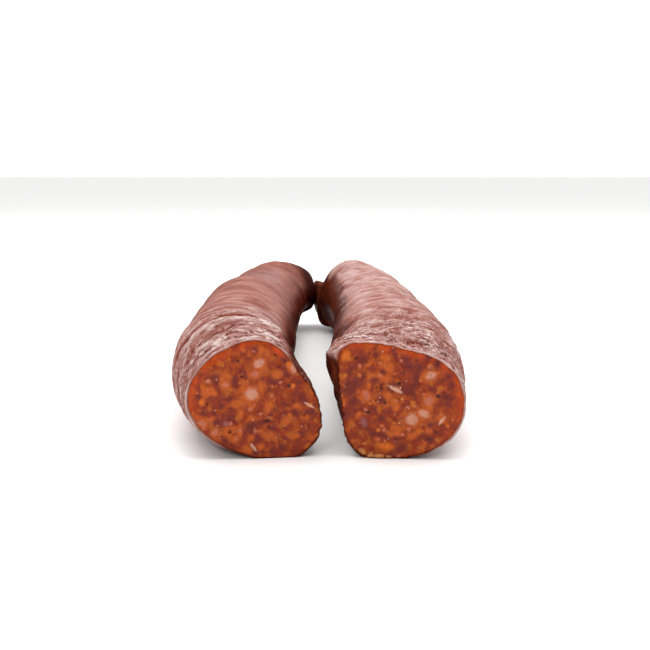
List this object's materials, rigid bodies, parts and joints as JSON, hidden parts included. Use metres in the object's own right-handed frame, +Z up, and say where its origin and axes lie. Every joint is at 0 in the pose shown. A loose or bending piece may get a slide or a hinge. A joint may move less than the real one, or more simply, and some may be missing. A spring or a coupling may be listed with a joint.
{
  "type": "cured sausage pair",
  "caption": "Horseshoe pair of dry-cured paprika sausage links in one wrinkled natural casing, joined by a twisted neck at the back, with coarse-ground cut faces at the front.",
  "frame": {"origin": "on the surface it rests on, below the middle of its footprint", "axes": "+Y along the links, from the cut faces to the twisted neck; +Z up; +X to the right when looking from the cut faces"},
  "size_m": [0.0924, 0.2488, 0.0375],
  "materials": {
    "casing": "dry wrinkled natural casing with a pale dusty bloom",
    "filling": "moist coarse-ground paprika meat with pieces of fat"
  },
  "bodies": {
    "root": {"casing": "casing", "filling_left": "filling", "filling_right": "filling"}
  },
  "joints": []
}
